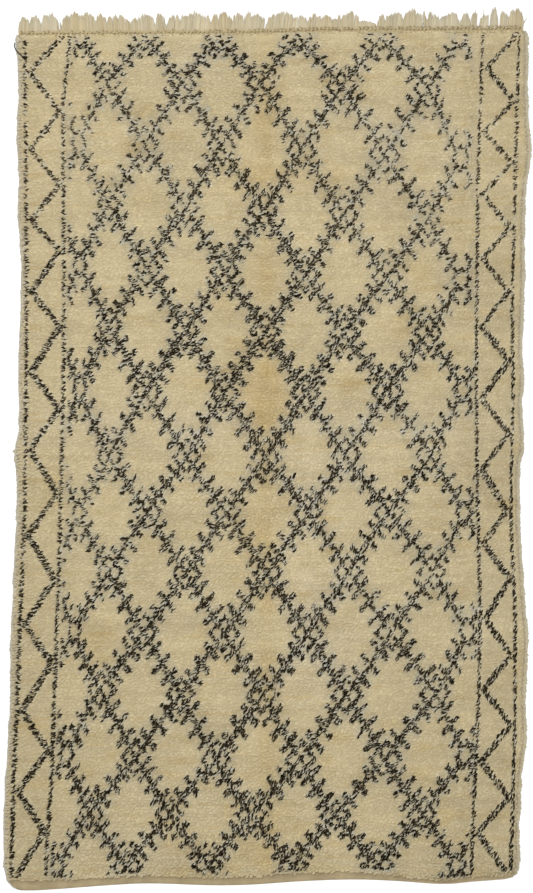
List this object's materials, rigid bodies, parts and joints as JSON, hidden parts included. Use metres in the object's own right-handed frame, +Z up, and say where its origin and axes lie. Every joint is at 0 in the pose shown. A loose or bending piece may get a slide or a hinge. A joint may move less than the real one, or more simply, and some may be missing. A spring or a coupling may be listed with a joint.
{
  "type": "beni ourain rug",
  "caption": "Flat rectangular wool pile rug with a lattice pattern and zigzag side borders, a short warp fringe at one end and a narrow hem at the other, for laying on a floor.",
  "frame": {"origin": "on the floor under the middle of the rug, fringe counted in", "axes": "+Y along the rug towards the fringed head end, +X across it to the right as the picture shows it, +Z up out of the pile"},
  "size_m": [1.9059, 3.1769, 0.0209],
  "materials": {
    "wool_pile": "matt undyed cream wool pile with a dark brown-black lattice",
    "warp_yarn": "matt undyed pale cream wool yarn"
  },
  "bodies": {
    "root": {"rug_body": "wool_pile", "warp_fringe": "warp_yarn"}
  },
  "joints": []
}
